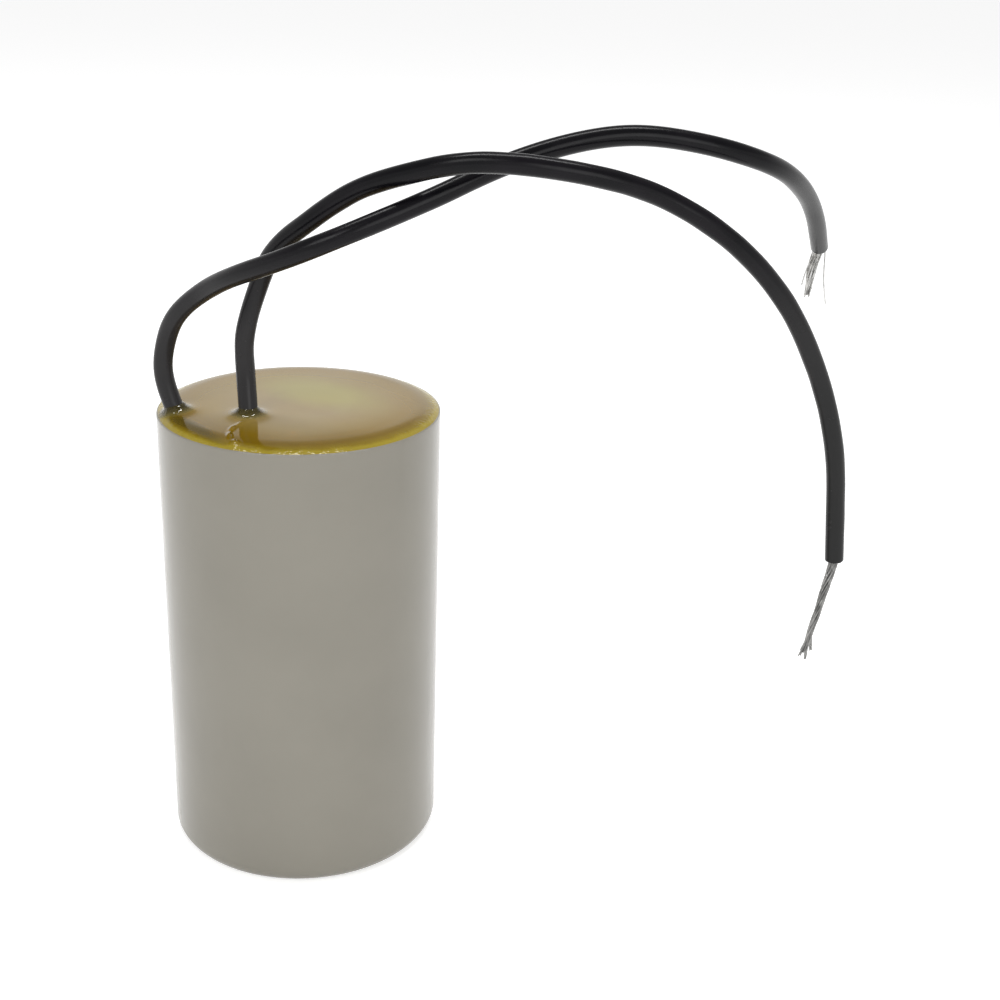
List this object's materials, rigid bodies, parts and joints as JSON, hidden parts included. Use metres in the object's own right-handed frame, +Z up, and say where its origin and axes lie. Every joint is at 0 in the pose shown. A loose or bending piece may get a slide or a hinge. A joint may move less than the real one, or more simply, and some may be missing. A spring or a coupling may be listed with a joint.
{
  "type": "motor run capacitor",
  "caption": "Round plastic can with a wound film element cast in amber resin and flying wire leads out of its top. It shifts the phase of a single-phase motor's winding.",
  "frame": {"origin": "centre of the can's base, on the surface it stands on", "axes": "+Z up the can's axis, out of its potted end; the leads arch over towards +X"},
  "size_m": [0.1034, 0.0512, 0.1139],
  "materials": {
    "case_plastic": "satin",
    "amber_resin": "gloss",
    "metallised_film": "gloss",
    "core_plastic": "matte",
    "wrap_tape": "gloss",
    "sprayed_zinc": "matte",
    "solder": "satin",
    "black_insulation": "satin",
    "tinned_copper": "satin"
  },
  "bodies": {
    "root": {"case": "case_plastic", "potting_resin": "amber_resin", "film_winding": "metallised_film", "winding_core": "core_plastic", "winding_wrap": "wrap_tape", "upper_end_spray": "sprayed_zinc", "lower_end_spray": "sprayed_zinc", "upper_solder_joint": "solder", "lower_solder_joint": "solder", "lead_a_insulation": "black_insulation", "lead_a_conductor": "tinned_copper", "lead_b_insulation": "black_insulation", "lead_b_conductor": "tinned_copper"}
  },
  "joints": []
}
